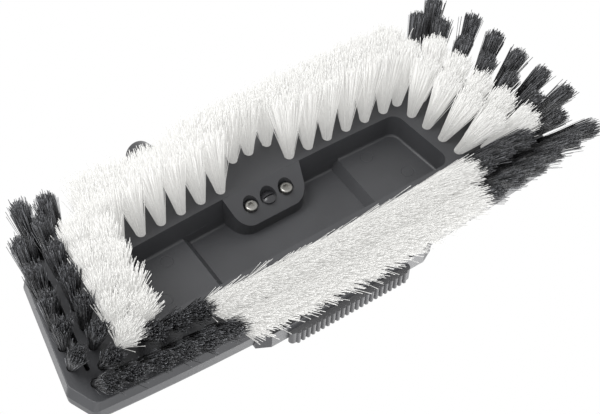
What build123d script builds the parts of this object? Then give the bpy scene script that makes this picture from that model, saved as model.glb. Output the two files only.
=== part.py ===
"""Flow-through pool and spa brush head on a tilting neck.

Built standing on its bristles: +Z up, the neck rises towards +Y, the bumper edge faces -Y and the long
side runs along X. While it is being built z = 0 is the bristle face of the block; at the end everything
is moved so that the origin is the bottom centre of the whole object.
"""

import os
from math import atan, cos, degrees, pi, radians, sin, sqrt

from build123d import *

# ---- driving dimensions, millimetres and degrees -------------------------------------------------

# plan of the block, measured at its widest level
end_x = 155.6  # half length on the middle line
end_flare = 0.17  # the ends lean out towards the bumper edge, mm per mm
front_y = 59.4  # middle line to the bumper edge
back_y = 59.5  # middle line to the neck edge
edge_bow = 0.0003  # both long edges are bowed, mm per mm squared
corner_cut_y = 17.0  # corner chamfer, measured across the block
corner_cut_x = 10.0  # and along it
corner_round = 5.0
rim_height = 5.0  # bristle face to the widest level
rim_inset = 2.0  # how much smaller the bristle face is
rim_edge = 0.8  # rounding where the rim meets the bristle face
slab_height = 14.0  # thickness of the block where the bristles are set
slab_inset = 8.0  # how far its top draws in, under the cover
ledge = 3.2  # width of the ledge that carries the cover

# trough
trough_back = 26.1
trough_front = 22.7
trough_end = 98.6  # half length on the middle line
trough_flare = 0.12
trough_bow = 0.00022
trough_corner = 7.0
trough_depth = 15.6  # the two shallow end bays
trough_deep = 21.4  # the deep middle bay
deep_half = 54.0  # half length of the middle bay at the shallow floor
ramp_run = 4.4
trough_draft = 0.08
floor_round = 1.6
trough_lip = 0.7  # chamfer round the trough's mouth
tub_wall = 3.0

# wedge boss in the trough
boss_half = 27.0
boss_taper = 5.0
boss_toe = 9.0  # y of its low end
boss_slope = 0.8
boss_corner = 11.0

# screws and nozzle in the boss
pivot_y = 17.6
screw_x = 12.1
screw_head_r = 4.0
screw_head_h = 2.8
screw_r = 2.0
screw_seat = 8.4  # depth of the head seat below the bristle face
screw_past = 0.2  # how far a screw passes its insert
screw_crown = 1.3
drive_r = 1.9
drive_depth = 1.5
seat_gap = 0.9  # ring of clearance round heads and nozzle
nozzle_r = 4.3
nozzle_stem_r = 3.2
nozzle_slot = 0.9
nozzle_dome_r = 6.4
nozzle_stem_h = 6.0
nozzle_groove_r = 2.4
nozzle_groove_h = 2.2
nozzle_ring_r = 0.4
water_r = 2.0

# drain slots
slot_width = 2.5
slot_half = 30.0
slot_from_end = 14.0

# bristles
bristle_height = 42.0
tuft_r = 2.7
tuft_gap = 0.05
tuft_set = 10.0  # how deep a tuft sits in its hole
anchor_h = 1.2
white_tip_r = 5.2
grey_tip_r = 4.4
row_pitch = 13.4
back_in_gap = 5.9  # inner back row behind the trough
back_out_gap = 12.5  # outer back row in from the edge
front_in_gap = 8.3
front_out_gap = 13.4
back_in_start = 23.8  # x of the tufts nearest the boss
back_out_start = 18.0
back_out_middle = 5.5
end_columns = (49.1, 35.6, 22.1, 6.8)  # in from the end: two white, two grey
lean_x = 0.0021  # lean per mm from the middle
lean_y = 0.011
lean_y_zero = 15.0
front_in_lean = 0.14  # extra lean of the two front rows
front_out_lean = 0.06

# deck cover
cover_wall = 2.0
cover_clear = 1.8  # air between the tub and the cover
cover_top_inset = 31.0
cover_swell = 2.6  # how full the cover's side is: 2 is elliptic
cover_levels = 7
shoulder_half = 60.0
shoulder_reach = 3.0
shoulder_top = 17.0
shoulder_slant = 5.0

# bumper
bumper_half = 41.0
bumper_thick = 4.2
bumper_low = 6.0
bumper_high = 15.6
rib_pitch = 3.3
rib_r = 1.25
bumper_peg_x = 24.0
bumper_peg_r = 1.8
bumper_peg_length = 5.5
bumper_corner = 2.4

# pivot base and hinge
base_half_y = 16.0
base_h = 6.0
cheek_in = 12.2
cheek_t = 6.5
hinge_clear = 1.0  # between the neck's eye and the base
eye_r = 11.0
bolt_r = 5.0
bolt_gap = 0.04
bolt_head_h = 5.0
bolt_head_r = 8.0
bolt_tail = 9.0  # thread beyond the fork
bolt_bore = 2.4
cross_hole = 1.5
hex_r = 2.5
way_r = 1.6  # water way through the fork
washer_t = 0.9
washer_r = 8.6
insert_r = 3.2
insert_h = 5.0
base_corner = 6.0
base_edge = 1.5

# neck
neck_tilt = 27.0  # rest angle of the neck above the deck
neck_length = 170.0  # hinge axis to the tip of the spigot
tube_r = 11.0
tube_wall = 1.6
socket_wall = 3.0
socket_from = 15.0
socket_to = 52.0
socket_lip = 1.5
throat_r = 3.2
tube_from = 24.0
tube_to = 130.0
collar_at = 66.0
collar_w = 10.0
collar_reach = 3.5
spigot_step = 1.0
spigot_bore = 6.0
spigot_plug = 18.0
spigot_flange = 4.0
ring_r = 1.3  # cord radius of the spigot's sealing rings
ring_proud = 0.65  # how far the rings stand out of the spigot
ring_spots = (14.0, 21.0)  # distance of the rings back from the tip
tip_round = 1.6
button_at = 100.0
button_r = 3.2
button_out = 3.2
button_gap = 0.06
button_flange = 1.2
button_flange_h = 1.6
knob_r = 15.0
knob_t = 11.0
knob_lobes = 6
knob_lobe_r = 3.6
knob_depth = 8.5  # of the threaded hole

collar_flutes = 24
flute_r = 1.3
spring_t = 0.6
spring_half = 2.5
spring_bend = 8.5

# clearances and small standard parts
touch_gap = 0.05  # between faces that rest on each other
screw_gap = 0.25  # round a screw in a through hole
anchor_gap = 0.02
big = 400.0  # larger than the whole part

# positions that follow from the sizes above
seat_z = rim_height + 2 * touch_gap  # underside of the deck cover
cover_top = trough_deep + tub_wall + cover_clear + cover_wall
cover_hole_z = cover_top - 3 * cover_wall
hinge_up = base_h + eye_r + hinge_clear
hinge_z = cover_top + hinge_up
screw_length = cover_top + insert_h + screw_past - screw_seat
socket_r = tube_r + socket_wall
collar_r = tube_r + collar_reach
spigot_r = tube_r - spigot_step
fork_half = cheek_in + cheek_t
washer_x = cheek_in - washer_t - 2 * touch_gap
bumper_back = -front_y - shoulder_reach
bumper_mid = rim_height + (bumper_low + bumper_high) / 2
button_foot = tube_r - tube_wall - button_out - button_flange_h  # inner face of the button's flange


# ---- helpers --------------------------------------------------------------------------------------


def outline(shrink=0.0):
    """Plan face of the block: bowed long edges, leaning ends, cut and rounded corners."""
    half_x, front, back = end_x - shrink, front_y - shrink, back_y - shrink
    ends = {}
    for side, reach in ((-1, front), (1, back)):
        x_line = half_x - end_flare * side * (reach - corner_cut_y)
        x_corner = half_x - end_flare * side * reach - corner_cut_x
        ends[side] = (x_corner, side * (reach - edge_bow * x_corner**2), x_line)
    front_x, front_edge, front_line = ends[-1]
    back_x, back_edge, back_line = ends[1]
    front_end = front_edge + corner_cut_y
    back_end = back_edge - corner_cut_y
    edges = [
        ThreePointArc((-front_x, front_edge), (0, -front), (front_x, front_edge)),
        Line((front_x, front_edge), (front_line, front_end)),
        Line((front_line, front_end), (back_line, back_end)),
        Line((back_line, back_end), (back_x, back_edge)),
        ThreePointArc((back_x, back_edge), (0, back), (-back_x, back_edge)),
        Line((-back_x, back_edge), (-back_line, back_end)),
        Line((-back_line, back_end), (-front_line, front_end)),
        Line((-front_line, front_end), (-front_x, front_edge)),
    ]
    face = make_face(edges)
    return fillet(face.vertices(), corner_round)


def level(shrink, z):
    return Pos(0, 0, z) * outline(shrink)


def disc(x, y, z, r, h, axis=(0, 0, 1)):
    """Cylinder of radius r that starts at (x, y, z) and runs h along axis."""
    plane = Plane(origin=(x, y, z), z_dir=axis)
    return extrude(plane * Circle(r), h)


def box(x0, x1, y0, y1, z0, z1):
    size = (x1 - x0, y1 - y0, z1 - z0)
    return Pos((x0 + x1) / 2, (y0 + y1) / 2, (z0 + z1) / 2) * Box(*size)


def along_neck(shape):
    """Puts a shape drawn with its axis on +X of its own frame onto the neck's axis at rest."""
    return Pos(0, pivot_y, hinge_z) * Rot(neck_tilt, 0, 0) * Rot(0, 0, 90) * shape


def turned(profile):
    """Solid of revolution about X from (x, r) points."""
    return revolve(make_face(Polyline(*profile, close=True)), Axis.X)


def tube(x0, x1, r_out, r_in):
    return turned([(x0, r_in), (x1, r_in), (x1, r_out), (x0, r_out)])


def rod(x0, x1, r):
    return turned([(x0, 0), (x1, 0), (x1, r), (x0, r)])


def joined(shapes):
    return Compound(children=[s for shape in shapes for s in shape.solids()])


# ---- bristle layout -------------------------------------------------------------------------------


def both(points):
    """The points and their mirror images across the middle line."""
    return points + [(-x, y) for x, y in points]


def bowed_back(x, y):
    return y - trough_bow * x * x


def bowed_front(x, y):
    return y + edge_bow * x * x


def column(x_mid, ys):
    """Tufts in a line that runs parallel to the block's end."""
    return [(x_mid - end_flare * y, y) for y in ys]


def spread(first, count):
    return [first + row_pitch * k for k in range(count)]


back_in_y, back_out_y = trough_back + back_in_gap, back_y - back_out_gap
front_in_y, front_out_y = -trough_front - front_in_gap, -front_y + front_out_gap
back_in = [(x, bowed_back(x, back_in_y)) for x in spread(back_in_start, 6)]
back_out = [(x, bowed_back(x, back_out_y)) for x in [back_out_middle] + spread(back_out_start, 7)]
front_in = [(x, bowed_front(x, front_in_y)) for x in spread(row_pitch / 2, 9)]
front_out = [(x, bowed_front(x, front_out_y)) for x in spread(row_pitch, 11)]
front_mid = [(0, front_out_y)]
white_reach = 76.0  # beyond this the front rows are grey
front_white_in = [p for p in front_in if p[0] < white_reach]
front_white_out = [p for p in front_out if p[0] < white_reach]
front_grey = [p for p in front_in + front_out if p[0] > white_reach]
column_x = [end_x - inset for inset in end_columns]
end_white = column(column_x[0], [30.5, 18.5, 6.3, -6.3, -18.9])
end_white += column(column_x[1], [25.0, 12.0, -0.5, -13.0, -25.5])
end_grey_in = column(column_x[2], [33.0, 20.0, 7.0, -6.0, -19.0, -32.0])
end_grey_out = column(column_x[3], [28.0, 15.0, 2.0, -11.0, -24.0])
back_corner_grey = [(column_x[1], back_y - 16.0), (column_x[2], back_y - 13.5)]


def tuft_direction(x, y):
    extra = 0.0
    if (abs(x), y) in front_in:
        extra = front_in_lean
    elif (abs(x), y) in front_out + front_mid:
        extra = front_out_lean
    slope = (lean_x * x, lean_y * (y - lean_y_zero) - extra, -1.0)
    length = sqrt(sum(c * c for c in slope))
    return tuple(c / length for c in slope)


def tuft(x, y, tip_r):
    """One tuft: a plug in its hole that opens into a fan cut off level at the floor."""
    way = tuft_direction(x, y)
    reach = (bristle_height + 2 * tip_r) / -way[2]
    profile = [(-tuft_set, 0), (-tuft_set, tuft_r), (0, tuft_r), (reach, tip_r), (reach, 0)]
    spun = revolve(make_face(Polyline(*profile, close=True)), Axis.X)
    frame = Plane(origin=(x, y, 0), x_dir=way, z_dir=Vector(*way).cross(Vector(0, 1, 0)))
    floor_cut = box(-big, big, -big, big, -bristle_height - 60, -bristle_height)
    return frame * spun - floor_cut


def tuft_hole(x, y):
    way = tuft_direction(x, y)
    depth = tuft_set + anchor_h + 2 * anchor_gap
    start = [c - w * depth for c, w in zip((x, y, 0), way)]
    return disc(*start, tuft_r + tuft_gap, depth + 6, way)


def anchor(x, y):
    """Flat staple that holds a tuft's fold at the bottom of its hole."""
    way = tuft_direction(x, y)
    start = [c - w * (tuft_set + anchor_gap + anchor_h) for c, w in zip((x, y, 0), way)]
    return disc(*start, tuft_r - 0.1, anchor_h, way)


def right(points):
    return [(-x, y) for x, y in points]


tuft_groups = {
    "white_tufts_back_inner_left": (back_in, white_tip_r),
    "white_tufts_back_inner_right": (right(back_in), white_tip_r),
    "white_tufts_back_outer": (both(back_out), white_tip_r),
    "white_tufts_front_inner": (both(front_white_in), white_tip_r),
    "white_tufts_front_outer": (both(front_white_out) + front_mid, white_tip_r),
    "white_tufts_end_left": (end_white, white_tip_r),
    "white_tufts_end_right": (right(end_white), white_tip_r),
    "grey_tufts_end_inner_left": (end_grey_in, grey_tip_r),
    "grey_tufts_end_inner_right": (right(end_grey_in), grey_tip_r),
    "grey_tufts_end_outer_left": (end_grey_out, grey_tip_r),
    "grey_tufts_end_outer_right": (right(end_grey_out), grey_tip_r),
    "grey_tufts_front_left": (front_grey, grey_tip_r),
    "grey_tufts_front_right": (right(front_grey), grey_tip_r),
    "grey_tufts_back_left": (back_corner_grey, grey_tip_r),
    "grey_tufts_back_right": (right(back_corner_grey), grey_tip_r),
}
all_tufts = [p for points, _ in tuft_groups.values() for p in points]


# ---- head -----------------------------------------------------------------------------------------


def trough_plan(z, grow=0.0):
    """Plan of the trough at depth z, or of the tub wall round it when grown."""
    draft = trough_draft * z - grow
    back, front = trough_back - draft, -trough_front + draft
    far, near = trough_end - trough_flare * back - draft, trough_end - trough_flare * front - draft
    sag = trough_bow * far**2
    edges = [
        Line((-near, front), (near, front)),
        Line((near, front), (far, back - sag)),
        ThreePointArc((far, back - sag), (0, back), (-far, back - sag)),
        Line((-far, back - sag), (-near, front)),
    ]
    face = make_face(edges)
    return Pos(0, 0, z) * fillet(face.vertices(), trough_corner + grow)


def trough_space(depth, grow=0.0):
    return loft([trough_plan(0, grow), trough_plan(depth, grow)], ruled=True)


def middle_bay(grow=0.0):
    """Prism that limits the deep bay along X, with a ramp at each end."""
    slope = ramp_run / (trough_deep - trough_depth)
    low, high = trough_depth - 1, trough_deep + tub_wall + 1
    start = deep_half + grow + slope
    foot = start - slope * (high - low)
    ramps = Polyline((-start, low), (-foot, high), (foot, high), (start, low), close=True)
    return extrude(Plane.XZ * make_face(ramps), big / 2, both=True)


def trough_core():
    """The hollow itself: full-length shallow space and the deep bay, with rounded floor edges."""
    shallow, deep = (rounded_floor(trough_space(d), d) for d in (trough_depth, trough_deep))
    return shallow + (deep & middle_bay())


def tub():
    """Outside of the trough's walls and floor, stepped like the hollow."""
    step = box(-big, big, -big, big, trough_depth + tub_wall, big / 2) - middle_bay(tub_wall)
    return trough_space(trough_deep + tub_wall, tub_wall) - step


def mouth():
    """Chamfer round the trough's mouth."""
    return loft([trough_plan(-trough_lip, 2 * trough_lip), trough_plan(trough_lip)], ruled=True)


def rounded_floor(space, depth):
    floor = [e for e in space.edges() if e.bounding_box().min.Z > depth - 0.01]
    return fillet(floor, floor_round)


def boss():
    """Wedge that slopes from the trough's rim almost down to its floor."""
    top = trough_back + 2.0
    low = boss_half - boss_taper
    sides = Polyline((-boss_half, top), (boss_half, top), (low, boss_toe), (-low, boss_toe), close=True)
    face = make_face(sides)
    toe = [v for v in face.vertices() if v.Y < boss_toe + 1]
    body = extrude(fillet(toe, boss_corner), trough_deep + 1)
    slope_plane = Plane(origin=(0, trough_back, 0), x_dir=(1, 0, 0), z_dir=(0, -boss_slope, -1))
    above = extrude(slope_plane * Rectangle(big, big), 80)
    return body - above


def make_block():
    rim = loft([level(rim_inset, 0), level(0, rim_height)], ruled=True)
    rim = fillet(rim.faces().sort_by(Axis.Z)[0].edges(), rim_edge)
    slab = loft([level(ledge, rim_height), level(slab_inset, slab_height)], ruled=True)
    block = rim + slab + tub() - trough_core() - mouth() + boss()
    for x in (-screw_x, screw_x):
        block -= disc(x, pivot_y, screw_seat, screw_head_r + seat_gap, -screw_seat - 1)
        block -= disc(x, pivot_y, screw_seat - 1, screw_r + screw_gap, trough_deep)
    block -= disc(0, pivot_y, screw_seat, nozzle_r + seat_gap, -screw_seat - 1)
    block -= disc(0, pivot_y, screw_seat - 1, nozzle_stem_r + touch_gap, nozzle_stem_h + 2)
    block -= disc(0, pivot_y, screw_seat - 1, water_r, trough_deep)
    for side in (-1, 1):
        block -= slot_cut(side)
    block -= joined([tuft_hole(x, y) for x, y in all_tufts])
    return block


def slot_cut(side):
    """Narrow drain slot that runs parallel to the block's end."""
    turn = side * degrees(atan(end_flare))
    face = SlotCenterToCenter(2 * slot_half, slot_width)
    slot = extrude(Pos(0, 0, -1) * face, slab_height + 2)
    return Pos(side * (end_x - slot_from_end), 0, 0) * Rot(0, 0, 90 + turn) * slot


def shell(gap):
    """Domed solid inside the outline; gap is how far it lies within the cover's outside."""
    height = cover_top - seat_z - gap
    width = cover_top_inset - screw_gap
    levels = []
    for k in range(cover_levels):
        turn = radians(90) * k / (cover_levels - 1)
        rise = sin(turn) ** (2 / cover_swell)
        inset = 1 - cos(turn) ** (2 / cover_swell)
        levels.append(level(screw_gap + gap + width * inset, seat_z + height * rise))
    return loft(levels, ruled=True)


def shoulder_outline():
    """Plan of the shoulder that carries the bumper: its front edge is drawn in at both ends."""
    run = shoulder_reach + shoulder_slant
    root, foot = -front_y + shoulder_slant, -front_y + 1
    corners = [
        (-shoulder_half, root),
        (-shoulder_half, foot),
        (-shoulder_half + run, bumper_back),
        (shoulder_half - run, bumper_back),
        (shoulder_half, foot),
        (shoulder_half, root),
    ]
    return make_face(Polyline(*corners, close=True))


def make_cover():
    """Shell that covers the back of the block, with a shoulder for the bumper."""
    shoulder = extrude(Pos(0, 0, seat_z) * shoulder_outline(), shoulder_top - rim_height)
    cover = shell(0) + shoulder - Pos(0, 0, -anchor_gap) * shell(cover_wall)
    for x in (-screw_x, screw_x):
        cover -= disc(x, pivot_y, cover_hole_z, screw_r + screw_gap, hinge_up)
    for x in (-bumper_peg_x, bumper_peg_x):
        cover -= disc(x, bumper_back - 1, bumper_mid, bumper_peg_r + touch_gap, 8, (0, 1, 0))
    cover -= disc(0, pivot_y, cover_hole_z, nozzle_stem_r, hinge_up)
    return cover


def boss_screw(x):
    """Pan-head screw with a six-lobe socket, driven up from the bristle side."""
    face_z = screw_seat - screw_head_h
    head = disc(x, pivot_y, face_z, screw_head_r, screw_head_h)
    crown = [e for e in head.edges() if abs(e.center().Z - face_z) < 0.01]
    head = fillet(crown, screw_crown)
    shank = disc(x, pivot_y, screw_seat, screw_r, screw_length)
    return head + shank - six_lobe(x, face_z)


def six_lobe(x, z):
    """Six-lobe drive recess: a round core with a lobe every sixth of a turn."""
    lobe_r = drive_r / 3
    core = disc(x, pivot_y, z - 1, drive_r - lobe_r / 2, drive_depth + 1)
    for k in range(6):
        turn = radians(60 * k)
        spot = (x + (drive_r - lobe_r) * cos(turn), pivot_y + (drive_r - lobe_r) * sin(turn))
        core += disc(*spot, z - 1, lobe_r, drive_depth + 1)
    return core


def make_nozzle():
    """Domed fan nozzle: a slot across the dome, a flange on the seat and a hollow stem above it."""
    drop = sqrt(nozzle_dome_r**2 - nozzle_r**2)
    ball = Pos(0, pivot_y, screw_seat - nozzle_stem_h / 5 + drop) * Sphere(nozzle_dome_r)
    dome = ball & disc(0, pivot_y, screw_seat, nozzle_r, -screw_seat)
    stem = disc(0, pivot_y, screw_seat, nozzle_stem_r, nozzle_stem_h)
    groove = disc(0, pivot_y, screw_seat + nozzle_groove_h, nozzle_r, nozzle_groove_h)
    groove -= disc(0, pivot_y, screw_seat, nozzle_groove_r, nozzle_stem_h)
    bore = disc(0, pivot_y, screw_seat, water_r, nozzle_stem_h + 1)
    slot = Pos(0, pivot_y, screw_seat) * Box(nozzle_r * 1.6, nozzle_slot, screw_seat)
    return dome + stem - groove - bore - slot


def make_nozzle_ring():
    middle = screw_seat + nozzle_groove_h * 1.5
    return Pos(0, pivot_y, middle) * Torus(nozzle_groove_r + nozzle_ring_r, nozzle_ring_r)


def make_bumper():
    """Corrugated bumper strip that caps the shoulder, with barbed pegs behind it."""
    back, low, high = bumper_back - touch_gap, rim_height + bumper_low, rim_height + bumper_high
    front = back - bumper_thick + rib_r
    strip = box(-bumper_half, bumper_half, front, back, low, high)
    ends = [e for e in strip.edges().filter_by(Axis.Z) if e.center().Y < back - 1]
    strip = fillet(ends, bumper_corner)
    count = int((bumper_half - bumper_corner - rib_r) / rib_pitch)
    for k in range(-count, count + 1):
        strip += disc(k * rib_pitch, front, low, rib_r, high - low)
    for x in (-bumper_peg_x, bumper_peg_x):
        strip += disc(x, back - 1, bumper_mid, bumper_peg_r, bumper_peg_length, (0, 1, 0))
    return strip


def hinge_rod(x0, x1, r):
    return disc(x0, pivot_y, hinge_z, r, x1 - x0, (1, 0, 0))


def make_base():
    """Fork bracket that the neck tilts in, with the water way from its floor to the bolt."""
    low, high = cover_top + touch_gap, cover_top + base_h
    base = box(-fork_half, fork_half, pivot_y - base_half_y, pivot_y + base_half_y, low, high)
    base = fillet(base.edges().filter_by(Axis.Z), base_corner)
    base = fillet(base.faces().sort_by(Axis.Z)[-1].edges(), base_edge)
    for x0, x1 in ((-fork_half, -cheek_in), (cheek_in, fork_half)):
        base += box(x0, x1, pivot_y - eye_r, pivot_y + eye_r, high - 1, hinge_z)
        base += hinge_rod(x0, x1, eye_r)
    base -= hinge_rod(-fork_half - 1, fork_half + 1, bolt_r + bolt_gap)
    for x in (-screw_x, screw_x):
        base -= disc(x, pivot_y, low - 1, insert_r, insert_h + 1)
        base -= disc(x, pivot_y, low, screw_r + screw_gap, 2 * hinge_up)
    middle = (low + high) / 2
    way_x = cheek_in + cheek_t / 2
    base -= disc(0, pivot_y, low - 1, water_r, middle - low + 1)
    base -= disc(0, pivot_y, middle, way_r, way_x, (1, 0, 0))
    base -= disc(way_x, pivot_y, middle, way_r, hinge_z - middle)
    return base


def threaded_insert(x):
    low = cover_top + 2 * touch_gap
    sleeve = disc(x, pivot_y, low, insert_r - anchor_gap, insert_h - 2 * touch_gap)
    return sleeve - disc(x, pivot_y, low - 1, screw_r + anchor_gap, insert_h + 2)


def make_bolt():
    """Hollow hinge bolt: flat head on the left, water bore, cross holes and a threaded end."""
    head_x = -fork_half - bolt_head_h
    bolt = hinge_rod(head_x + 1, fork_half + bolt_tail, bolt_r)
    bolt += hinge_rod(head_x, -fork_half - touch_gap, bolt_head_r)
    bolt -= hinge_rod(-cheek_in - cross_hole, fork_half - cross_hole, bolt_bore)
    for x in (0, cheek_in + cheek_t / 2):
        bolt -= disc(x, pivot_y, hinge_z - bolt_r - 1, cross_hole, 2 * bolt_r + 2)
    socket = Plane(origin=(head_x - 1, pivot_y, hinge_z), z_dir=(1, 0, 0)) * RegularPolygon(hex_r, 6)
    return bolt - extrude(socket, 1 + bolt_head_h / 2)


def washer(x0):
    ring_solid = hinge_rod(x0, x0 + washer_t, washer_r)
    return ring_solid - hinge_rod(x0 - 1, x0 + washer_t + 1, bolt_r + screw_gap)


def make_knob():
    """Lobed thumb nut on the threaded end of the bolt."""
    x0 = fork_half + washer_t + 4 * touch_gap
    knob = hinge_rod(x0, x0 + knob_t, knob_r - knob_lobe_r / 2)
    for k in range(knob_lobes):
        turn = radians(360 / knob_lobes * k)
        y = pivot_y + (knob_r - knob_lobe_r) * cos(turn)
        z = hinge_z + (knob_r - knob_lobe_r) * sin(turn)
        knob += disc(x0 + 2, y, z, knob_lobe_r, knob_t - 2, (1, 0, 0))
    return knob - hinge_rod(x0 - 1, x0 + knob_depth, bolt_r + bolt_gap)


def make_yoke():
    """Eye and socket that carry the tube; water enters the tube round the bolt."""
    half = cheek_in - washer_t - screw_gap
    stem = rod(eye_r - socket_lip, socket_from + socket_lip, half)
    socket = rod(socket_from, socket_to, socket_r)
    lip = [e for e in socket.edges() if e.geom_type == GeomType.CIRCLE]
    socket = fillet(lip, socket_lip)
    yoke = along_neck(stem + socket) + hinge_rod(-half, half, eye_r)
    yoke -= hinge_rod(-half - 1, half + 1, bolt_r + bolt_gap)
    yoke -= hinge_rod(-water_r, water_r, bolt_r + cross_hole)
    yoke -= along_neck(rod(0, tube_from + 1, throat_r))
    yoke -= along_neck(rod(tube_from, socket_to + 1, tube_r + anchor_gap))
    return yoke


def make_tube():
    """Tube of the neck, with the hole for the snap button."""
    wall = tube(tube_from + 2 * touch_gap, tube_to, tube_r, tube_r - tube_wall)
    hole = Plane(origin=(button_at, 0, 0), z_dir=(0, 1, 0)) * Circle(button_r + button_gap)
    wall -= extrude(hole, tube_r + 5)
    return along_neck(wall)


def make_collar():
    """Stop collar for the pole, with a row of grip flutes."""
    body = tube(collar_at, collar_at + collar_w, collar_r, tube_r + touch_gap)
    flute_at = collar_r + flute_r / 2
    for k in range(collar_flutes):
        turn = 2 * pi * k / collar_flutes
        y, z = flute_at * cos(turn), flute_at * sin(turn)
        body -= disc(collar_at + flute_r, y, z, flute_r, collar_w - 2 * flute_r, (1, 0, 0))
    return along_neck(body)


def make_spigot():
    """Plug in the end of the tube with a grooved spigot that seals in the pole."""
    body = rod(tube_to - spigot_plug, tube_to + touch_gap, tube_r - tube_wall - touch_gap)
    body += rod(tube_to + touch_gap, tube_to + spigot_flange, tube_r)
    tip = rod(tube_to + spigot_flange, neck_length, spigot_r)
    round_edges = tip.edges().filter_by(GeomType.CIRCLE)
    body += fillet([e for e in round_edges if abs(e.center().X - neck_length) < 0.01], tip_round)
    groove_half = ring_r + 3 * touch_gap
    groove_r = spigot_r - 2 * ring_r + ring_proud - touch_gap
    for spot in ring_spots:
        x = neck_length - spot
        body -= tube(x - groove_half, x + groove_half, spigot_r + 1, groove_r)
    body -= rod(tube_to - spigot_plug - 1, neck_length + 1, spigot_bore)
    return along_neck(body)


def make_rings():
    """The sealing rings in the spigot's grooves."""
    cord = Rot(0, 90, 0) * Torus(spigot_r - ring_r + ring_proud, ring_r)
    return joined([along_neck(Pos(neck_length - spot, 0, 0) * cord) for spot in ring_spots])


def make_button():
    """Snap button: a domed pin through the tube wall, with a flange inside it."""
    top = tube_r + button_out
    pin = disc(button_at, button_foot, 0, button_r, top - button_foot, (0, 1, 0))
    dome = [e for e in pin.edges() if abs(e.center().Y - top) < 0.01]
    pin = fillet(dome, button_r / 2)
    flange = disc(button_at, button_foot, 0, button_r + button_flange, button_flange_h, (0, 1, 0))
    return along_neck(pin + flange)


def make_button_spring():
    """Bent leaf that pushes the button out, anchored against the far side of the tube."""
    low = -(tube_r - tube_wall) + spring_t
    top = button_foot - touch_gap
    line = Polyline(
        (button_at - button_r, top - spring_t / 2),
        (button_at + spring_bend, top - spring_t / 2),
        (button_at + spring_bend + button_r, (top + low) / 2),
        (button_at + spring_bend, low + spring_t / 2),
        (button_at - spring_bend, low + spring_t / 2),
    )
    leaf = extrude(trace(line, spring_t), spring_half, both=True)
    return along_neck(leaf)


def build():
    parts = {
        "bristle_block": make_block(),
        "deck_cover": make_cover(),
        "tuft_anchors": joined([anchor(x, y) for x, y in all_tufts]),
        "boss_screws": joined([boss_screw(x) for x in (-screw_x, screw_x)]),
        "spray_nozzle": make_nozzle(),
        "nozzle_o_ring": make_nozzle_ring(),
        "bumper_strip": make_bumper(),
        "pivot_base": make_base(),
        "base_inserts": joined([threaded_insert(x) for x in (-screw_x, screw_x)]),
        "hinge_bolt": make_bolt(),
        "friction_washers": joined([washer(x) for x in (-washer_x - washer_t, washer_x)]),
        "knob_washer": washer(fork_half + touch_gap),
        "thumb_knob": make_knob(),
        "neck_yoke": make_yoke(),
        "neck_tube": make_tube(),
        "stop_collar": make_collar(),
        "pole_spigot": make_spigot(),
        "spigot_o_rings": make_rings(),
        "snap_button": make_button(),
        "button_spring": make_button_spring(),
    }
    for name, (points, tip_r) in tuft_groups.items():
        parts[name] = joined([tuft(x, y, tip_r) for x, y in points])
    return parts


if __name__ == "__main__":
    os.makedirs("parts", exist_ok=True)
    made = build()
    whole = Compound(children=[s for shape in made.values() for s in shape.solids()]).bounding_box()
    shift = Pos(-whole.center().X, -whole.center().Y, -whole.min.Z)
    for name, shape in made.items():
        export_step(shift * shape, f"parts/{name}.step")
    hinge = (shift * Pos(0, pivot_y, hinge_z)).position
    print("whole", whole.size, "origin shift", shift.position, "hinge", hinge)
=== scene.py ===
"""Pool and spa brush head: bristles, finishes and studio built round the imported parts."""

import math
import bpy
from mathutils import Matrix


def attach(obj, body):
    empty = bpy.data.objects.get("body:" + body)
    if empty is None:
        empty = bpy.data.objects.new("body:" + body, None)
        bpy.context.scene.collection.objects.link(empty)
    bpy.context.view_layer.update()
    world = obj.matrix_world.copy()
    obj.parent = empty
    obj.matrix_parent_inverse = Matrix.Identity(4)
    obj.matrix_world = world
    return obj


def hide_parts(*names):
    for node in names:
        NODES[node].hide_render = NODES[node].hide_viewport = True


bl_info = {
    "name": "Pool Brush Head",
    "version": (1, 0, 0),
    "blender": (4, 5, 0),
    "location": "View3D > Sidebar > Brush Head",
    "description": "Builds the bristles, finishes and studio of a pool and spa brush head",
    "category": "Add Mesh",
}

from collections import namedtuple

import bmesh
import bpy
import numpy as np
from bpy.props import FloatProperty, FloatVectorProperty, IntProperty, PointerProperty
from mathutils import Matrix, Vector

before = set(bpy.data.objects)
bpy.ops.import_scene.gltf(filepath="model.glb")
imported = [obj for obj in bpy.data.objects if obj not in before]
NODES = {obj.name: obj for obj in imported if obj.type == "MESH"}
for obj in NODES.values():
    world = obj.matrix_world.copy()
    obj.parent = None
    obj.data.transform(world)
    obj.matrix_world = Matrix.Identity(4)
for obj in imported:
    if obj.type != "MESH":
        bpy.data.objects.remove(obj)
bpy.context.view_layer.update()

# ---- layout of the head, metres --------------------------------------------------------------

BRISTLE_FACE = 0.042  # height of the face that the bristles stand out of
TROUGH_FLOOR = BRISTLE_FACE + 0.0156  # height of the shallow bays' floor
EJECTOR_MARKS = ((0.070, -0.029), (0.084, -0.051), (-0.070, -0.029), (-0.084, -0.051))

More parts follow.
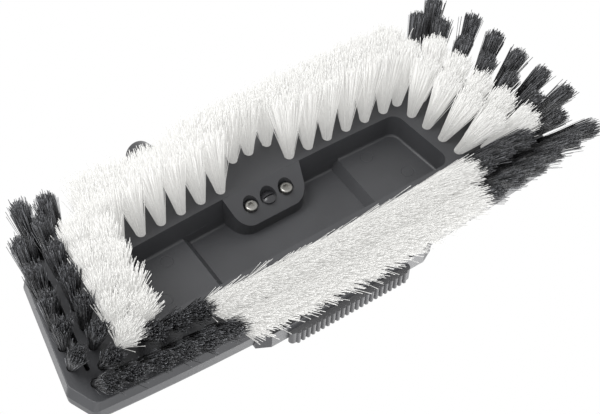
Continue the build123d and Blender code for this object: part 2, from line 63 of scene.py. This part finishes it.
# rows of tufts: how wide the tips open compared with the usual fan, and how far they are combed
# along Y for each metre of bristle
WHITE_ROWS = {
    "white_tufts_back_inner_left": (1.05, 0.10),
    "white_tufts_back_inner_right": (1.05, 0.10),
    "white_tufts_back_outer": (1.12, -0.13),
    "white_tufts_front_inner": (1.20, -0.08),
    "white_tufts_front_outer": (1.08, -0.04),
    "white_tufts_end_left": (0.95, 0.00),
    "white_tufts_end_right": (0.85, 0.00),
}
GREY_ROWS = {
    "grey_tufts_end_inner_left": (0.84, 0.00),
    "grey_tufts_end_inner_right": (0.74, 0.00),
    "grey_tufts_end_outer_left": (0.84, 0.00),
    "grey_tufts_end_outer_right": (0.74, 0.00),
    "grey_tufts_front_left": (1.02, 0.00),
    "grey_tufts_front_right": (0.95, -0.07),
    "grey_tufts_back_left": (0.95, -0.10),
    "grey_tufts_back_right": (0.74, -0.08),
}
WORN_ROW = "white_tufts_back_outer"
WORN_FROM, WORN_TO = 0.034, 0.082  # x of the worn part of that row
WORN_LENGTH = 0.85  # what is left of its bristles
LEFT_COMB = 1.3  # how far the +X tufts are combed back, per metre from the middle

# ---- one strand ------------------------------------------------------------------------------

ROOT_SPREAD = 0.0026  # radius of a tuft in its hole
ROOT_SINK = 0.0012  # how deep the strands start in the hole
LOWEST = 0.0002  # height that the tips are trimmed to
SHORTEST, DOMED = 0.11, 0.03  # lost length of the shortest strand, and of the outermost
ODD_SHARE, ODD_SPREAD = 0.10, 1.35  # how many strands stand away, and how far
SWING = 0.22  # how far a strand turns out of its own direction
PACKING = 0.85  # power that sets how evenly the tips fill the fan
FRAY = 0.99617  # share of the curl that the tips wander by
GOLDEN_ANGLE = math.pi * (3 - math.sqrt(5))
CORE_REACH = 0.66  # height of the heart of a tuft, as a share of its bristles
CORE_ROOT, CORE_SINK = 0.00262, 0.001
CORE_FILL = 0.340561  # how far the core has opened at its top, as a share of the fan
CORE_TOP = 0.55  # the top is drawn in by this factor
CORE_COMB = 0.582649  # how far the top is combed, as a share of the tips

# ---- looks -----------------------------------------------------------------------------------

PAINTED_GLOW = 0.42  # painted glow: emission that lifts the shade of the white filaments, in place of light soaking through them
WHITE_TONES = (("white_bristle", 1.0, 0.62), ("white_bristle_dull", 0.88, 0.38))
# name, brightness, root, tip, share of pale fray with painted highlight, share of the strands
GREY_TONES = (
    ("grey_bristle", 1.0, 0.6, 1.0, 0.2, 0.55),
    ("grey_bristle_mid", 2.2, 0.7, 1.2, 0.3, 0.30),
    ("grey_bristle_pale", 5.0, 0.5, 1.2, 0.3, 0.15),
)
# pale fray with painted highlights: a light colour laid in streaks over the bristle tips
FRAY_HIGHLIGHT_COLOUR = (0.40, 0.41, 0.43)
WHITE_SEED, GREY_SEED = 11, 47

CAMERA_AT = Vector((0.3318, -0.4783, -0.6684))
CAMERA_BACK = Vector((0.3782, -0.4799, -0.7916))
CAMERA_UP = Vector((-0.4306, 0.6658, -0.6093))
CAMERA_LENS = 95.0
STUDIO_MIDDLE = (0.0, -0.04, 0.05)
# name, place, size and power of each square area light
LAMPS = (
    ("key_below", (0.50, 0.25, -0.95), 0.6, 8.5),
    ("fill_below", (0.5, -0.9, -0.35), 0.8, 5.0),
    ("key_above", (-0.7, -0.8, 1.2), 0.8, 14.0),
    ("fill_above", (0.9, 0.7, 0.9), 0.9, 6.0),
)


class BrushSizes(bpy.types.PropertyGroup):
    strands_white: IntProperty(
        name="White strands",
        description="Bristles in one white tuft",
        default=400,
        min=20,
        max=600,
    )
    strands_grey: IntProperty(
        name="Grey strands",
        description="Bristles in one grey tuft",
        default=330,
        min=20,
        max=600,
    )
    strand_radius: FloatProperty(
        name="Strand radius",
        description="Radius of one bristle",
        default=0.00018,
        unit="LENGTH",
    )
    white_fan: FloatProperty(
        name="White fan",
        description="Radius that a white tuft opens to at its tips",
        default=0.0086,
        unit="LENGTH",
    )
    grey_fan: FloatProperty(
        name="Grey fan",
        description="Radius that a grey tuft opens to at its tips",
        default=0.0049,
        unit="LENGTH",
    )
    curl: FloatProperty(
        name="Curl",
        description="How far the tips wander",
        default=0.0017,
        unit="LENGTH",
    )


class BrushColours(bpy.types.PropertyGroup):
    block: FloatVectorProperty(
        name="Block",
        description="Moulded plastic of the block",
        default=(0.046, 0.047, 0.051),
        subtype="COLOR",
        size=3,
    )
    white: FloatVectorProperty(
        name="White bristle",
        description="Soft bristles",
        default=(0.62, 0.617, 0.604),
        subtype="COLOR",
        size=3,
    )
    grey: FloatVectorProperty(
        name="Grey bristle",
        description="Stiff bristles",
        default=(0.025, 0.0255, 0.0275),
        subtype="COLOR",
        size=3,
    )
    bumper: FloatVectorProperty(
        name="Bumper",
        description="Soft rubber of the bumper strip",
        default=(0.10, 0.10, 0.104),
        subtype="COLOR",
        size=3,
    )
    floor: FloatVectorProperty(
        name="Floor",
        description="Studio floor",
        default=(0.82, 0.82, 0.82),
        subtype="COLOR",
        size=3,
    )


# ---- shader maths ----------------------------------------------------------------------------


class Field:
    """A value in a node tree. Arithmetic on it adds Math nodes."""

    def __init__(self, paint, socket):
        self.paint = paint
        self.socket = socket

    def _math(self, operation, *values):
        return self.paint.add("ShaderNodeMath", {"operation": operation}, *values)

    def __add__(self, other):
        return self._math("ADD", self, other)

    __radd__ = __add__

    def __sub__(self, other):
        return self._math("SUBTRACT", self, other)

    def __rsub__(self, other):
        return self._math("SUBTRACT", other, self)

    def __mul__(self, other):
        return self._math("MULTIPLY", self, other)

    __rmul__ = __mul__

    def ramp(self, low, high):
        """0 below low, 1 above high and smooth between."""
        return self.paint.add(
            "ShaderNodeMapRange",
            {"interpolation_type": "SMOOTHSTEP", "clamp": True},
            self,
            low,
            high,
            0.0,
            1.0,
        )


class Paint:
    """A procedural finish on one Principled shader."""

    def __init__(self, name, colour, roughness, metallic=0.0):
        self.material = bpy.data.materials.new(name)
        self.material.use_nodes = True
        self.tree = self.material.node_tree
        self.shader = self.tree.nodes["Principled BSDF"]
        self.shader.inputs["Base Color"].default_value = (*colour, 1.0)
        self.shader.inputs["Roughness"].default_value = roughness
        self.shader.inputs["Metallic"].default_value = metallic
        self.material.diffuse_color = (*colour, 1.0)

    def glow(self, colour, strength):
        """Painted glow: light given off by thin plastic itself, in place of light soaking
        through it.
        """
        self.shader.inputs["Emission Color"].default_value = (*colour, 1.0)
        self.shader.inputs["Emission Strength"].default_value = strength

    def node(self, kind, settings, *values, **named):
        """Adds a node, sets it up and joins or sets its sockets."""
        made = self.tree.nodes.new(kind)
        for key, value in settings.items():
            setattr(made, key, value)
        for key, value in [*enumerate(values), *named.items()]:
            socket = made.inputs[key]
            if isinstance(value, Field):
                self.tree.links.new(value.socket, socket)
            else:
                socket.default_value = value
        return made

    def add(self, kind, settings, *values, **named):
        made = self.node(kind, settings, *values, **named)
        return Field(self, made.outputs[0])

    def place(self):
        return Field(self, self.node("ShaderNodeTexCoord", {}).outputs["Object"])

    def stretched(self, scale):
        settings = {"operation": "MULTIPLY"}
        return self.add("ShaderNodeVectorMath", settings, self.place(), scale)

    def distance(self, point):
        """How far the shaded point is from a fixed one."""
        settings = {"operation": "DISTANCE"}
        made = self.node("ShaderNodeVectorMath", settings, self.place(), point)
        return Field(self, made.outputs["Value"])

    def height(self):
        """The object coordinate along Z."""
        parts = self.node("ShaderNodeSeparateXYZ", {}, self.place())
        return Field(self, parts.outputs["Z"])

    def noise(self, scale, detail=2.0, stretch=None):
        where = self.stretched(stretch) if stretch else self.place()
        return self.add("ShaderNodeTexNoise", {}, Vector=where, Scale=scale, Detail=detail)

    def mix(self, factor, low, high):
        """Colour between low and high."""
        made = self.tree.nodes.new("ShaderNodeMix")
        made.data_type = "RGBA"
        ends = {0: factor, 6: low, 7: high}
        for index, value in ends.items():
            if isinstance(value, Field):
                self.tree.links.new(value.socket, made.inputs[index])
            else:
                made.inputs[index].default_value = (*value, 1.0) if index else value
        return Field(self, made.outputs[2])

    def feed(self, socket, value):
        self.tree.links.new(value.socket, self.shader.inputs[socket])

    def relief(self, height, depth):
        made = self.node("ShaderNodeBump", {}, Strength=1.0, Distance=depth, Height=height)
        self.tree.links.new(made.outputs[0], self.shader.inputs["Normal"])


def scaled(colour, factor):
    return tuple(channel * factor for channel in colour)


def mottled(paint, colour, cloud, contrast):
    """The colour, a little darker and lighter in patches."""
    low, high = scaled(colour, 1.0 - contrast), scaled(colour, 1.0 + contrast)
    paint.feed("Base Color", paint.mix(cloud.ramp(0.35, 0.65), low, high))


def moulded(name, colour, roughness, grain=0.00003):
    """Moulded plastic with a fine spark texture and slightly uneven gloss."""
    paint = Paint(name, colour, roughness)
    spark = paint.noise(2600.0, 2.0)
    cloud = paint.noise(38.0, 3.0)
    mottled(paint, colour, cloud, 0.07)
    paint.feed("Roughness", roughness - 0.05 + cloud * 0.1)
    paint.relief(spark, grain)
    return paint


def block_finish(colour):
    """The block's plastic, with faint ejector rings on the shallow trough floors."""
    paint = Paint("block_plastic", colour, 0.46)
    spark = paint.noise(2400.0, 2.0)
    cloud = paint.noise(30.0, 3.0)
    rings = 0.0
    for x, y in EJECTOR_MARKS:
        away = paint.distance((x, y, TROUGH_FLOOR))
        rings = rings + away.ramp(0.0034, 0.0036) * (1.0 - away.ramp(0.0039, 0.0041))
    mottled(paint, colour, cloud, 0.06)
    paint.feed("Roughness", 0.40 + cloud * 0.12)
    paint.relief(spark * 0.25 - rings, 0.00012)
    return paint


def bristle_finish(name, colour, root, tip, fray_highlight_share):
    """Filament plastic: fine upright streaks, darker towards the root and lighter towards the
    tips, and light streaks that are pale fray with painted highlights, stronger near the tips.
    """
    paint = Paint(name, colour, 0.48)
    up = 1.0 - paint.height().ramp(0.0, BRISTLE_FACE)
    streak = paint.noise(900.0, 1.0, (1.0, 1.0, 0.06))
    patch = paint.noise(120.0, 2.0)
    bright = scaled(colour, tip)
    body = paint.mix(up, scaled(colour, root), bright)
    shade = paint.mix(streak.ramp(0.3, 0.7), scaled(colour, root * 0.9), bright)
    tone = paint.mix(patch.ramp(0.3, 0.7) * 0.35, body, shade)
    # painted highlights and pale fray: light streaks that grow stronger towards the tips
    pale = streak.ramp(0.55, 0.66) * (0.3 + 0.7 * up)
    paint.feed("Base Color", paint.mix(pale * fray_highlight_share, tone, FRAY_HIGHLIGHT_COLOUR))
    paint.relief(streak, 0.00006)
    return paint


def metal(name, colour, roughness):
    paint = Paint(name, colour, roughness, 1.0)
    brush = paint.noise(1500.0, 2.0)
    paint.feed("Roughness", roughness - 0.06 + brush * 0.12)
    paint.relief(brush, 0.00001)
    return paint


# ---- modelling helpers -----------------------------------------------------------------------


def clear_selection():
    if bpy.context.object and bpy.context.object.mode != "OBJECT":
        bpy.ops.object.mode_set(mode="OBJECT")
    bpy.ops.object.select_all(action="DESELECT")


def prism(sides, rise, widening):
    """A disc pulled up once, and resized at its top."""
    clear_selection()
    bpy.ops.mesh.primitive_circle_add(
        vertices=sides, radius=1.0, fill_type="NGON", location=(0, 0, 0)
    )
    made = bpy.context.object
    bpy.ops.object.mode_set(mode="EDIT")
    bpy.ops.mesh.select_all(action="SELECT")
    bpy.ops.mesh.extrude_region_move(TRANSFORM_OT_translate={"value": (0, 0, rise)})
    bpy.ops.transform.resize(value=(widening, widening, 1.0))
    bpy.ops.mesh.select_all(action="SELECT")
    bpy.ops.mesh.normals_make_consistent(inside=False)
    bpy.ops.object.mode_set(mode="OBJECT")
    return made


def filament():
    """One bristle: straight, three-sided and cut square at both ends."""
    return prism(3, 0.40, 1.0)


def core():
    """Heart of a tuft, where the strands lie packed: a straight sixteen-sided cone."""
    peg = prism(16, 0.16, 1.06)
    bpy.ops.object.mode_set(mode="EDIT")
    bpy.ops.mesh.select_all(action="SELECT")
    bpy.ops.mesh.quads_convert_to_tris()
    bpy.ops.object.mode_set(mode="OBJECT")
    return peg


def mesh_arrays(obj):
    """Vertices and triangles of a modelled shape."""
    mesh = obj.data
    mesh.calc_loop_triangles()
    points = np.array([v.co[:] for v in mesh.vertices])
    triangles = np.array([t.vertices[:] for t in mesh.loop_triangles])
    return points, triangles


def discard(obj):
    mesh = obj.data
    bpy.data.objects.remove(obj)
    bpy.data.meshes.remove(mesh)


def islands(shape):
    """The separate pieces of a mesh, each as an array of points."""
    left = set(range(len(shape.verts)))
    while left:
        island, queue = set(), [min(left)]
        while queue:
            index = queue.pop()
            if index in island:
                continue
            island.add(index)
            edges = shape.verts[index].link_edges
            queue.extend(e.other_vert(shape.verts[index]).index for e in edges)
        left -= island
        yield np.array([shape.verts[i].co[:] for i in sorted(island)])


def middle_of(points):
    return (points.min(axis=0) + points.max(axis=0)) / 2


def direction(start, end):
    return (end - start) / np.linalg.norm(end - start)


def tufts_of(node):
    """Foot, axis and reach of every tuft in a CAD row, read from its own solids."""
    shape = bmesh.new()
    shape.from_mesh(node.data)
    bmesh.ops.remove_doubles(shape, verts=shape.verts, dist=1e-6)
    shape.verts.ensure_lookup_table()
    found = []
    for points in islands(shape):
        height = points[:, 2]
        tip = middle_of(points[height < height.min() + 1e-5])
        rough = direction(tip, middle_of(points[height > height.max() - 0.003]))
        along = (points - tip) @ rough
        plug = middle_of(points[along > along.max() - 2e-4])
        axis = direction(plug, tip)
        foot = plug + axis * ((plug[2] - BRISTLE_FACE) / -axis[2])
        found.append((foot, axis, foot[2] / -axis[2]))
    shape.free()
    return sorted(found, key=lambda t: (round(t[0][0], 4), round(t[0][1], 4)))


Tuft = namedtuple("Tuft", "foot axis reach fan comb")


def styled(row, foot, axis, reach, fan, comb):
    """A tuft of a row with its wear, its fan and how far its tips are brushed aside."""
    if row == WORN_ROW and WORN_FROM < foot[0] < WORN_TO:
        reach = reach * WORN_LENGTH
    aside = np.array((-LEFT_COMB * max(foot[0], 0.0) * reach, comb * reach, 0.0))
    return Tuft(foot, axis, reach, fan, aside)


def side_axes(axis):
    one = np.cross(axis, (0.0, 1.0, 0.0))
    one /= np.linalg.norm(one)
    return one, np.cross(axis, one)


def ends_of(points):
    """True for each point of a modelled shape that is at its top."""
    return points[:, 2] > points[:, 2].max() / 2


def lay_strands(tuft, count, radius, curl, draw, strand):
    """Copies of the strand, each straight from the foot of a tuft to a tip in its fan."""
    points, triangles = strand
    sides = np.array(side_axes(tuft.axis))

    def heading(angle):
        return np.stack((np.cos(angle), np.sin(angle)), axis=1) @ sides

    number = np.arange(count)
    packed = np.sqrt((number + 0.5) / count)
    angle = number * GOLDEN_ANGLE + draw.uniform(-0.3, 0.3, count)
    spread = tuft.fan * packed**PACKING * draw.uniform(0.72, 1.12, count)
    odd = draw.random(count) < ODD_SHARE
    spread = np.where(odd, spread * draw.uniform(1.0, ODD_SPREAD, count), spread)
    swing = angle + draw.normal(0.0, SWING, count)
    wander = draw.normal(0.0, 1.0, (count, 2)) @ sides
    draw.normal(0.0, 1.0, (count, 2))  # not used; it keeps the later draws as they are
    lost = SHORTEST * draw.random(count) ** 2 + DOMED * packed
    thick = radius * draw.uniform(0.8, 1.2, count)

    root = tuft.foot - tuft.axis * ROOT_SINK + heading(angle) * (ROOT_SPREAD * packed)[:, None]
    tip = (
        tuft.foot
        + tuft.axis * (tuft.reach * (1.0 - lost))[:, None]
        + heading(swing) * spread[:, None]
        + wander * (curl * FRAY)
        + tuft.comb
    )
    centre = np.where(ends_of(points)[:, None], tip[:, None], root[:, None])
    placed = centre + (points[:, :2] @ sides) * thick[:, None, None]
    placed[:, :, 2] = np.maximum(placed[:, :, 2], LOWEST)
    offsets = (number * len(points))[:, None, None]
    return placed.reshape(-1, 3), (triangles[None] + offsets).reshape(-1, 3)


def lay_core(tuft, peg):
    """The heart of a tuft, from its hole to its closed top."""
    points, triangles = peg
    top = ends_of(points)[:, None]
    wide = (CORE_ROOT + (tuft.fan - ROOT_SPREAD) * CORE_FILL) * CORE_TOP
    unit = points[:, :2] / np.hypot(points[:, 0], points[:, 1])[:, None]
    placed = (
        tuft.foot
        + tuft.axis * (np.where(top, CORE_REACH, 0.0) * tuft.reach - CORE_SINK)
        + (unit * np.where(top, wide, CORE_ROOT)) @ np.array(side_axes(tuft.axis))
        + tuft.comb * np.where(top, CORE_COMB, 0.0)
    )
    return placed, triangles


def mesh_object(name, points, triangles, tones):
    """An object with these points and triangles, and a material number for each triangle."""
    mesh = bpy.data.meshes.new(name)
    count = len(triangles)
    mesh.vertices.add(len(points))
    mesh.vertices.foreach_set("co", points.astype(np.float32).ravel())
    mesh.loops.add(triangles.size)
    mesh.loops.foreach_set("vertex_index", triangles.astype(np.int32).ravel())
    mesh.polygons.add(count)
    starts = np.arange(0, triangles.size, 3, dtype=np.int32)
    mesh.polygons.foreach_set("loop_start", starts)
    mesh.polygons.foreach_set("loop_total", np.full(count, 3, dtype=np.int32))
    mesh.polygons.foreach_set("material_index", tones)
    mesh.update(calc_edges=True)
    mesh.polygons.foreach_set("use_smooth", np.ones(count, dtype=bool))
    made = bpy.data.objects.new(name, mesh)
    bpy.context.collection.objects.link(made)
    return made


def joined(meshes):
    """Several (points, triangles) as one."""
    starts = np.cumsum([0] + [len(points) for points, _ in meshes[:-1]])
    triangles = [part + start for (_, part), start in zip(meshes, starts)]
    return np.concatenate([points for points, _ in meshes]), np.concatenate(triangles)


def tones_of(tufts, core_faces, strand_faces, count, shares, draw):
    """A material number for every face. Each strand has one tone, and the cores the first."""
    tones = []
    for _ in range(tufts):
        pick = draw.choice(len(shares), count, p=shares)
        tones += [np.zeros(core_faces), np.repeat(pick, strand_faces)]
    return np.concatenate(tones).astype(np.int32)


def grow_rows(rows, count, fan, paints, seed):
    """Replaces each CAD row of tufts by a piece made of single strands."""
    sizes = bpy.context.scene.brush_sizes
    model, heart = filament(), core()
    strand, peg = mesh_arrays(model), mesh_arrays(heart)
    discard(model)
    discard(heart)
    shares = [share for _, share in paints]
    for number, (row, (opening, comb)) in enumerate(rows.items()):
        draw = np.random.default_rng(seed + number)
        found = tufts_of(NODES[row])
        meshes = []
        for foot, axis, reach in found:
            tuft = styled(row, foot, axis, reach, fan * opening, comb)
            meshes.append(lay_core(tuft, peg))
            meshes.append(
                lay_strands(tuft, count, sizes.strand_radius, sizes.curl, draw, strand)
            )
        tones = tones_of(len(found), len(peg[1]), len(strand[1]), count, shares, draw)
        made = mesh_object(row.replace("tufts", "bristles"), *joined(meshes), tones)
        for paint, _ in paints:
            made.data.materials.append(paint.material)
        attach(made, "head")
        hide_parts(row)


def finish_nodes(paint, *names):
    """Gives CAD nodes that stay in view their finish."""
    for name in names:
        mesh = NODES[name].data
        mesh.materials.clear()
        mesh.materials.append(paint.material)


# ---- operators -------------------------------------------------------------------------------


class POOLBRUSH_OT_white_bristles(bpy.types.Operator):
    """Grows the soft white rows round the trough"""

    bl_idname = "poolbrush.white_bristles"
    bl_label = "White bristles"

    def execute(self, context):
        sizes, white = context.scene.brush_sizes, tuple(context.scene.brush_colours.white)
        paints = []
        for name, bright, share in WHITE_TONES:
            paint = bristle_finish(name, scaled(white, bright), 0.95, 1.0, 0.0)
            # painted glow: the white filaments give off a little light of their own, which
            # brightens their shade
            paint.glow(white, PAINTED_GLOW)
            paints.append((paint, share))
        count, fan = sizes.strands_white, sizes.white_fan
        grow_rows(WHITE_ROWS, count, fan, paints, WHITE_SEED)
        return {"FINISHED"}


class POOLBRUSH_OT_grey_bristles(bpy.types.Operator):
    """Grows the stiff grey tufts at the ends and corners"""

    bl_idname = "poolbrush.grey_bristles"
    bl_label = "Grey bristles"

    def execute(self, context):
        sizes, grey = context.scene.brush_sizes, tuple(context.scene.brush_colours.grey)
        paints = []
        for name, bright, root, tip, fray_highlight_share, share in GREY_TONES:
            paint = bristle_finish(name, scaled(grey, bright), root, tip, fray_highlight_share)
            paints.append((paint, share))
        count, fan = sizes.strands_grey, sizes.grey_fan
        grow_rows(GREY_ROWS, count, fan, paints, GREY_SEED)
        return {"FINISHED"}


class POOLBRUSH_OT_block(bpy.types.Operator):
    """Finishes the moulded block, its cover and the bumper strip"""

    bl_idname = "poolbrush.block"
    bl_label = "Block and cover"

    def execute(self, context):
        block = tuple(context.scene.brush_colours.block)
        rubber = tuple(context.scene.brush_colours.bumper)
        finish_nodes(block_finish(block), "bristle_block")
        finish_nodes(moulded("cover_plastic", block, 0.5), "deck_cover")
        finish_nodes(moulded("bumper_rubber", rubber, 0.62, 0.00006), "bumper_strip")
        return {"FINISHED"}


class POOLBRUSH_OT_fittings(bpy.types.Operator):
    """Finishes the screws, nozzle, hinge and neck"""

    bl_idname = "poolbrush.fittings"
    bl_label = "Fittings and neck"

    def execute(self, context):
        steel = metal("screw_steel", (0.30, 0.295, 0.28), 0.30)
        finish_nodes(steel, "boss_screws", "hinge_bolt", "knob_washer", "button_spring")
        finish_nodes(metal("anchor_steel", (0.55, 0.55, 0.54), 0.35), "tuft_anchors")
        finish_nodes(metal("insert_brass", (0.72, 0.52, 0.25), 0.3), "base_inserts")
        finish_nodes(metal("tube_aluminium", (0.55, 0.56, 0.58), 0.38), "neck_tube")
        black = moulded("nozzle_plastic", (0.028, 0.028, 0.031), 0.28, 0.00001)
        finish_nodes(black, "spray_nozzle", "pole_spigot")
        hinge = moulded("hinge_plastic", (0.05, 0.052, 0.056), 0.5)
        finish_nodes(hinge, "pivot_base", "neck_yoke", "stop_collar")
        finish_nodes(moulded("knob_plastic", (0.035, 0.035, 0.038), 0.42), "thumb_knob")
        washer = moulded("washer_plastic", (0.7, 0.7, 0.68), 0.4, 0.00001)
        finish_nodes(washer, "friction_washers")
        button = moulded("button_plastic", (0.6, 0.61, 0.62), 0.3, 0.00001)
        finish_nodes(button, "snap_button")
        seal = moulded("seal_rubber", (0.015, 0.015, 0.016), 0.55, 0.00001)
        finish_nodes(seal, "nozzle_o_ring", "spigot_o_rings")
        return {"FINISHED"}


class POOLBRUSH_OT_stage(bpy.types.Operator):
    """Lays the floor and sets the lights and the camera"""

    bl_idname = "poolbrush.stage"
    bl_label = "Studio"

    def execute(self, context):
        lay_floor(tuple(context.scene.brush_colours.floor))
        light_studio(context.scene)
        place_camera(context.scene)
        return {"FINISHED"}


def lay_floor(colour):
    """A wide disc seen from above only, so that the bristle side can be looked at from below."""
    clear_selection()
    bpy.ops.mesh.primitive_circle_add(
        vertices=96, radius=4.0, fill_type="NGON", location=(0, 0, 0)
    )
    floor = bpy.context.object
    floor.name = "studio_floor"
    paint = Paint("studio_floor", colour, 0.6)
    tree = paint.tree
    behind = tree.nodes.new("ShaderNodeNewGeometry").outputs["Backfacing"]
    clear = tree.nodes.new("ShaderNodeBsdfTransparent")
    mix = tree.nodes.new("ShaderNodeMixShader")
    out = tree.nodes["Material Output"]
    tree.links.new(behind, mix.inputs[0])
    tree.links.new(paint.shader.outputs[0], mix.inputs[1])
    tree.links.new(clear.outputs[0], mix.inputs[2])
    tree.links.new(mix.outputs[0], out.inputs["Surface"])
    floor.data.materials.append(paint.material)
    floor.visible_shadow = False
    floor.visible_diffuse = False
    floor.visible_glossy = False
    floor.visible_transmission = False


def softbox(name, place, target, size, power):
    """Square area light that faces the target."""
    lamp = bpy.data.lights.new(name, "AREA")
    lamp.shape = "SQUARE"
    lamp.size = size
    lamp.energy = power
    made = bpy.data.objects.new(name, lamp)
    made.location = place
    made.rotation_mode = "QUATERNION"
    made.rotation_quaternion = (Vector(target) - Vector(place)).to_track_quat("-Z", "Y")
    made.visible_camera = False
    bpy.context.collection.objects.link(made)


def light_studio(scene):
    world = bpy.data.worlds.new("studio_world")
    world.use_nodes = True
    sky = world.node_tree.nodes["Background"]
    sky.inputs["Color"].default_value = (1.0, 1.0, 1.0, 1.0)
    sky.inputs["Strength"].default_value = 1.0
    scene.world = world
    scene.view_settings.view_transform = "Standard"
    for name, place, size, power in LAMPS:
        softbox(name, place, STUDIO_MIDDLE, size, power)


def place_camera(scene):
    lens = bpy.data.cameras.new("camera")
    lens.lens = CAMERA_LENS
    lens.sensor_width = 36.0
    lens.clip_end = 50.0
    camera = bpy.data.objects.new("camera", lens)
    camera.location = CAMERA_AT
    right = CAMERA_UP.cross(CAMERA_BACK).normalized()
    back = CAMERA_BACK.normalized()
    up = back.cross(right)
    turn = np.array([right[:], up[:], back[:]]).T
    camera.rotation_mode = "QUATERNION"
    camera.rotation_quaternion = Matrix(turn.tolist()).to_quaternion()
    bpy.context.collection.objects.link(camera)
    scene.camera = camera


class POOLBRUSH_PT_panel(bpy.types.Panel):
    """Lists the pieces of the brush head"""

    bl_idname = "POOLBRUSH_PT_panel"
    bl_label = "Brush Head"
    bl_space_type = "VIEW_3D"
    bl_region_type = "UI"
    bl_category = "Brush Head"

    def draw(self, context):
        for operator in OPERATORS:
            self.layout.operator(operator.bl_idname)
        for group in (context.scene.brush_sizes, context.scene.brush_colours):
            for name in group.bl_rna.properties.keys():
                if name not in ("rna_type", "name"):
                    self.layout.prop(group, name)


OPERATORS = (
    POOLBRUSH_OT_block,
    POOLBRUSH_OT_white_bristles,
    POOLBRUSH_OT_grey_bristles,
    POOLBRUSH_OT_fittings,
    POOLBRUSH_OT_stage,
)


def register():
    for group in (BrushSizes, BrushColours, *OPERATORS, POOLBRUSH_PT_panel):
        bpy.utils.register_class(group)
    bpy.types.Scene.brush_sizes = PointerProperty(type=BrushSizes)
    bpy.types.Scene.brush_colours = PointerProperty(type=BrushColours)


def unregister():
    del bpy.types.Scene.brush_sizes
    del bpy.types.Scene.brush_colours
    for group in reversed((BrushSizes, BrushColours, *OPERATORS, POOLBRUSH_PT_panel)):
        bpy.utils.unregister_class(group)


def main():
    register()
    bpy.ops.poolbrush.block()
    bpy.ops.poolbrush.white_bristles()
    bpy.ops.poolbrush.grey_bristles()
    bpy.ops.poolbrush.fittings()
    bpy.ops.poolbrush.stage()


if __name__ == "__main__":
    main()
